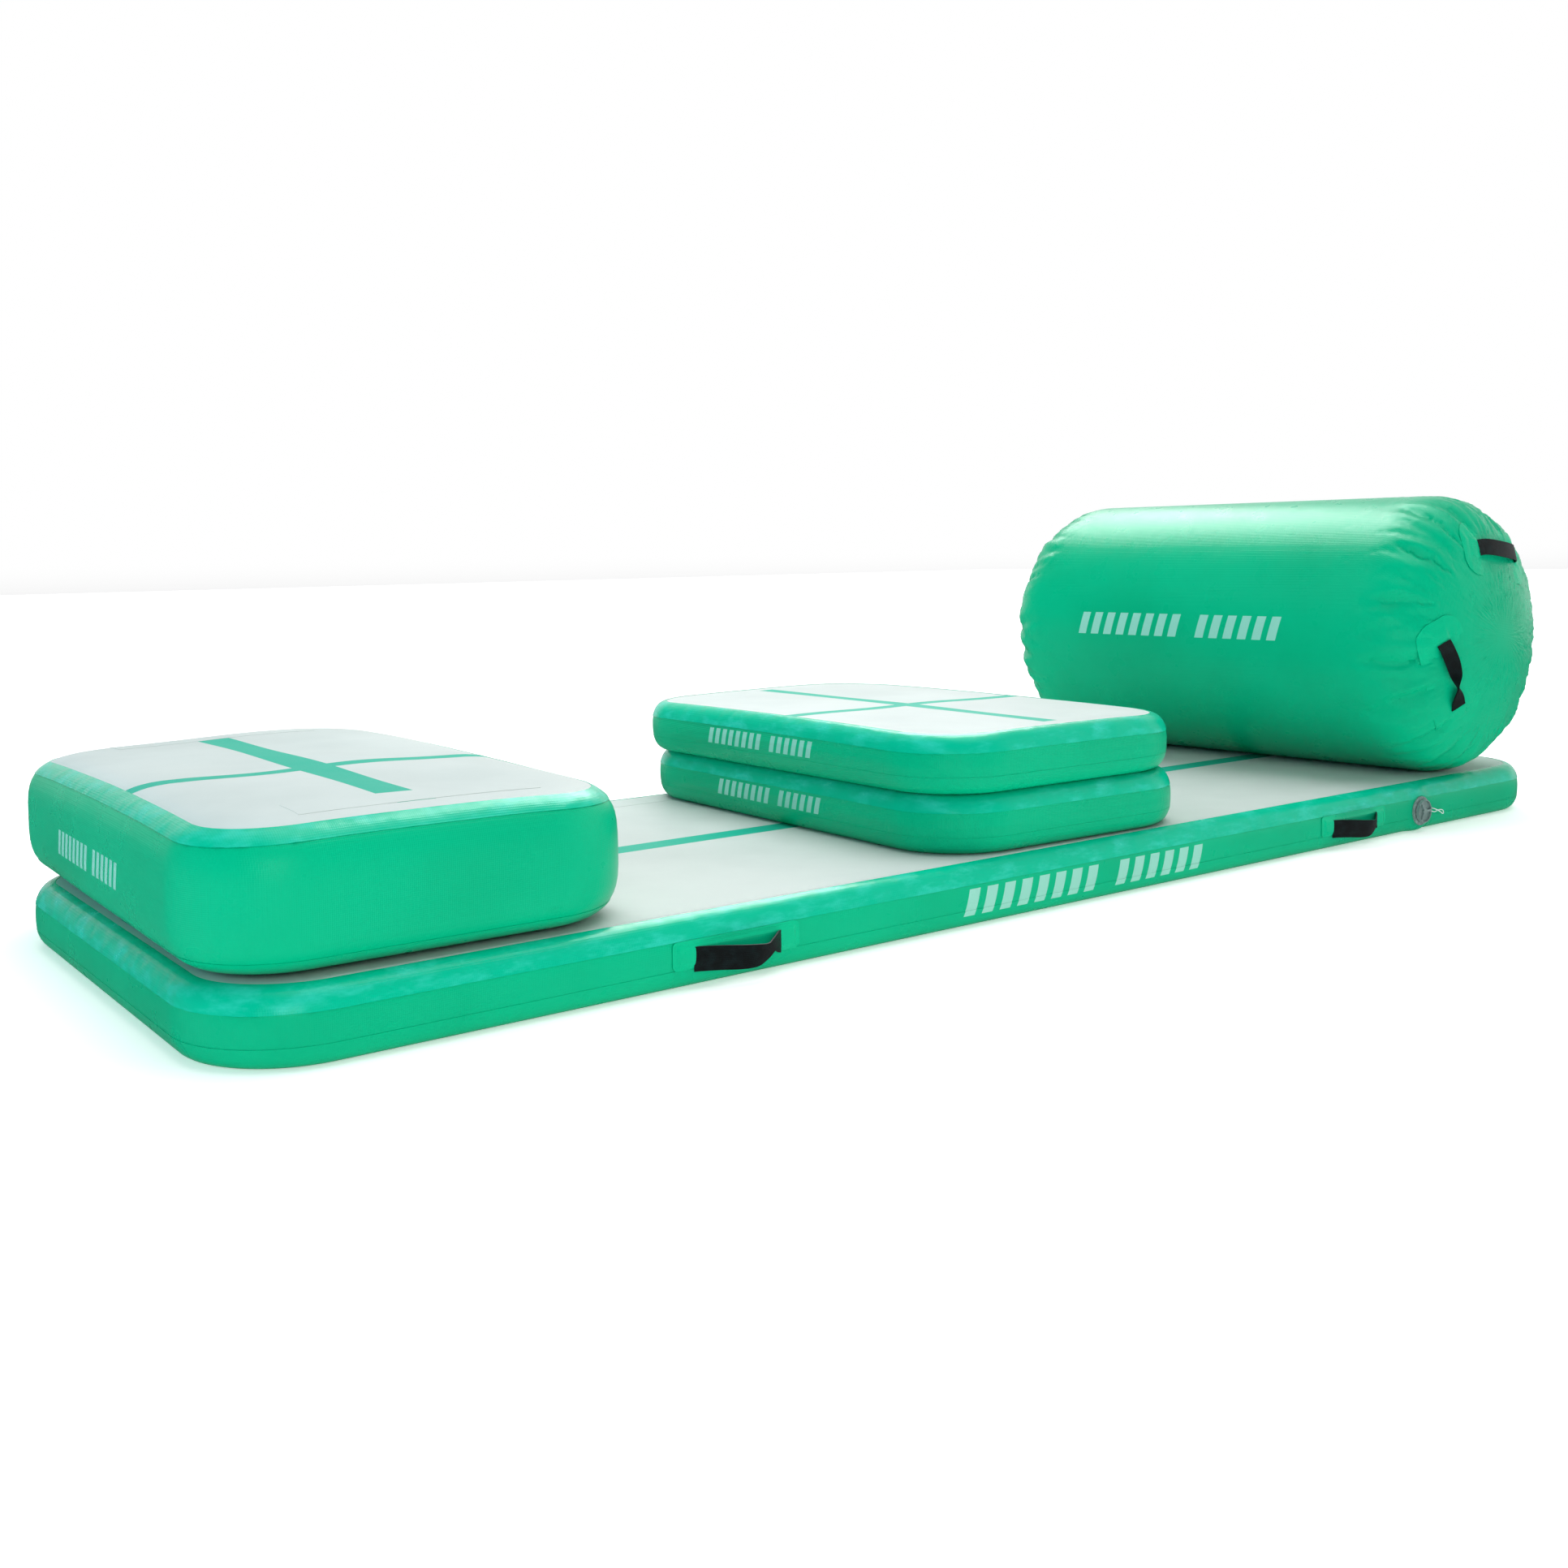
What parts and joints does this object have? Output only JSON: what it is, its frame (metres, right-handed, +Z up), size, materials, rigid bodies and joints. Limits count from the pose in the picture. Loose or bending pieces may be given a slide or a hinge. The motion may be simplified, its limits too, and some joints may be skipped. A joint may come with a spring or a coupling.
{
  "type": "inflatable air track mat set",
  "caption": "Inflatable air track floor mat with air block, stacked air boards and air roll on it, with webbing handles and one-way valves.",
  "frame": {"origin": "centre of the floor mat's underside, on the floor", "axes": "+X along the mat towards the air roll, -Y towards the side with the mat's valve, +Z up"},
  "size_m": [3.0054, 1.2191, 0.7048],
  "materials": {
    "grey_panel": "satin",
    "green_base": "satin",
    "green_band": "gloss",
    "green_tape": "gloss",
    "roll_skin": "gloss",
    "green_patch": "gloss",
    "webbing": "satin",
    "thread": "matte",
    "inner_tape": "satin",
    "valve_body": "satin",
    "valve_cap": "satin",
    "cap_ring": "satin",
    "valve_plunger": "satin",
    "silicone_seal": "satin",
    "welded_collar": "satin",
    "spring_steel": "polished",
    "tether": "satin"
  },
  "bodies": {
    "mat": {"mat_top_panel": "grey_panel", "mat_bottom_panel": "green_base", "mat_side_band": "green_band", "mat_edge_tapes": "green_tape", "mat_drop_threads": "thread", "mat_seam_strips": "grey_panel", "mat_valve_housing": "valve_body", "mat_valve_nut": "valve_body", "mat_valve_collar": "welded_collar", "mat_valve_spring": "spring_steel", "mat_valve_tether": "tether", "mat_handle_patches": "green_patch", "mat_strap_tabs": "webbing"},
    "mat_cap_carrier": {"mat_cap_ring": "cap_ring"},
    "mat_cap": {"mat_valve_cap": "valve_cap"},
    "mat_plunger": {"mat_valve_plunger": "valve_plunger", "mat_valve_seal": "silicone_seal"},
    "block": {"block_top_panel": "grey_panel", "block_bottom_panel": "green_base", "block_side_band": "green_band", "block_edge_tapes": "green_tape", "block_drop_threads": "thread", "block_valve_housing": "valve_body", "block_seam_strips": "grey_panel"},
    "block_cap": {"block_valve_cap": "valve_cap"},
    "block_plunger": {"block_valve_plunger": "valve_plunger"},
    "lower_board": {"lower_board_top_panel": "grey_panel", "lower_board_bottom_panel": "green_base", "lower_board_side_band": "green_band", "lower_board_edge_tapes": "green_tape", "lower_board_drop_threads": "thread", "lower_board_valve_housing": "valve_body"},
    "lower_board_cap": {"lower_board_valve_cap": "valve_cap"},
    "lower_board_plunger": {"lower_board_valve_plunger": "valve_plunger"},
    "upper_board": {"upper_board_top_panel": "grey_panel", "upper_board_bottom_panel": "green_base", "upper_board_side_band": "green_band", "upper_board_edge_tapes": "green_tape", "upper_board_drop_threads": "thread", "upper_board_valve_housing": "valve_body"},
    "upper_board_cap": {"upper_board_valve_cap": "valve_cap"},
    "upper_board_plunger": {"upper_board_valve_plunger": "valve_plunger"},
    "roll_carrier": {"roll_valve_housing": "valve_body"},
    "roll": {"roll_skin": "roll_skin", "roll_near_end": "roll_skin", "roll_far_end": "roll_skin", "roll_seam_tapes": "inner_tape", "roll_handle_patches": "green_patch", "roll_strap_tabs": "webbing"},
    "roll_cap": {"roll_valve_cap": "valve_cap"},
    "roll_plunger": {"roll_valve_plunger": "valve_plunger"},
    "mat_front_left_handle": {"mat_front_left_strap": "webbing"},
    "mat_front_right_handle": {"mat_front_right_strap": "webbing"},
    "mat_back_left_handle": {"mat_back_left_strap": "webbing"},
    "mat_back_right_handle": {"mat_back_right_strap": "webbing"},
    "roll_near_high_handle": {"roll_near_high_strap": "webbing"},
    "roll_near_low_handle": {"roll_near_low_strap": "webbing"},
    "roll_far_high_handle": {"roll_far_high_strap": "webbing"},
    "roll_far_low_handle": {"roll_far_low_strap": "webbing"}
  },
  "joints": [
    {"name": "mat_cap_pull", "type": "slide", "parent": "mat", "child": "mat_cap_carrier", "axis": [0, -1, 0], "range_m": [0, 0.015]},
    {"name": "mat_cap_turn", "type": "hinge", "parent": "mat_cap_carrier", "child": "mat_cap", "pos_m": [0.987, -0.505, 0.044], "axis": [0, -1, 0], "range_deg": [0, 90]},
    {"name": "mat_plunger_push", "type": "slide", "parent": "mat", "child": "mat_plunger", "axis": [0, 1, 0], "range_m": [0, 0.006], "stiffness_N_per_m": 300, "deforming": ["mat_valve_spring"]},
    {"name": "block_lift", "type": "slide", "parent": "mat", "child": "block", "axis": [0, 0, 1], "range_m": [0, 0.45]},
    {"name": "block_cap_turn", "type": "hinge", "parent": "block", "child": "block_cap", "pos_m": [-0.88254, 0.03906, 0.1984], "axis": [0.9999, -0.0161, 0], "range_deg": [0, 90]},
    {"name": "block_plunger_push", "type": "slide", "parent": "block", "child": "block_plunger", "axis": [-0.9999, 0.0161, 0], "range_m": [0, 0.006], "stiffness_N_per_m": 300},
    {"name": "lower_board_lift", "type": "slide", "parent": "mat", "child": "lower_board", "axis": [0, 0, 1], "range_m": [0, 0.45]},
    {"name": "lower_board_cap_turn", "type": "hinge", "parent": "lower_board", "child": "lower_board_cap", "pos_m": [0.31424, 0.01381, 0.1514], "axis": [0.9995, -0.0316, 0], "range_deg": [0, 90]},
    {"name": "lower_board_plunger_push", "type": "slide", "parent": "lower_board", "child": "lower_board_plunger", "axis": [-0.9995, 0.0316, 0], "range_m": [0, 0.006], "stiffness_N_per_m": 300},
    {"name": "upper_board_lift", "type": "slide", "parent": "lower_board", "child": "upper_board", "axis": [0, 0, 1], "range_m": [0, 0.35]},
    {"name": "upper_board_cap_turn", "type": "hinge", "parent": "upper_board", "child": "upper_board_cap", "pos_m": [0.29793, 0.01353, 0.2527], "axis": [0.9998, -0.0216, 0], "range_deg": [0, 90]},
    {"name": "upper_board_plunger_push", "type": "slide", "parent": "upper_board", "child": "upper_board_plunger", "axis": [-0.9998, 0.0216, 0], "range_m": [0, 0.006], "stiffness_N_per_m": 300},
    {"name": "roll_travel", "type": "slide", "parent": "mat", "child": "roll_carrier", "axis": [0.9995, 0.0312, 0], "range_m": [-0.52, 0.2]},
    {"name": "roll_turn", "type": "hinge", "parent": "roll_carrier", "child": "roll", "pos_m": [1.17, 0.031, 0.4029], "axis": [-0.0312, 0.9995, 0], "range_deg": [-99, 39]},
    {"name": "roll_cap_turn", "type": "hinge", "parent": "roll_carrier", "child": "roll_cap", "pos_m": [1.15121, 0.63211, 0.4029], "axis": [-0.0312, 0.9995, 0], "range_deg": [0, 90]},
    {"name": "roll_plunger_push", "type": "slide", "parent": "roll_carrier", "child": "roll_plunger", "axis": [0.0312, -0.9995, 0], "range_m": [0, 0.006], "stiffness_N_per_m": 300},
    {"name": "mat_front_left_handle_swing", "type": "hinge", "parent": "mat", "child": "mat_front_left_handle", "pos_m": [-0.768, -0.5, 0.043], "axis": [-1, 0, 0], "range_deg": [-40, 40]},
    {"name": "mat_front_right_handle_swing", "type": "hinge", "parent": "mat", "child": "mat_front_right_handle", "pos_m": [0.746, -0.5, 0.043], "axis": [-1, 0, 0], "range_deg": [-40, 40]},
    {"name": "mat_back_left_handle_swing", "type": "hinge", "parent": "mat", "child": "mat_back_left_handle", "pos_m": [-0.768, 0.5, 0.043], "axis": [1, 0, 0], "range_deg": [-40, 40]},
    {"name": "mat_back_right_handle_swing", "type": "hinge", "parent": "mat", "child": "mat_back_right_handle", "pos_m": [0.746, 0.5, 0.043], "axis": [1, 0, 0], "range_deg": [-40, 40]},
    {"name": "roll_near_high_handle_swing", "type": "hinge", "parent": "roll", "child": "roll_near_high_handle", "pos_m": [1.21261, -0.53678, 0.57971], "axis": [-0.9898, -0.0309, 0.1392], "range_deg": [-40, 40]},
    {"name": "roll_near_low_handle_swing", "type": "hinge", "parent": "roll", "child": "roll_near_low_handle", "pos_m": [1.02603, -0.54262, 0.32744], "axis": [0.4224, 0.0132, -0.9063], "range_deg": [-40, 40]},
    {"name": "roll_far_high_handle_swing", "type": "hinge", "parent": "roll", "child": "roll_far_high_handle", "pos_m": [1.17707, 0.60034, 0.57971], "axis": [0.9898, 0.0309, -0.1392], "range_deg": [-40, 40]},
    {"name": "roll_far_low_handle_swing", "type": "hinge", "parent": "roll", "child": "roll_far_low_handle", "pos_m": [0.99049, 0.59451, 0.32744], "axis": [-0.4224, -0.0132, 0.9063], "range_deg": [-40, 40]}
  ],
  "couplings": [
    {"joint": "roll_turn", "follows": "roll_travel", "rad_per_m": 3.308}
  ]
}
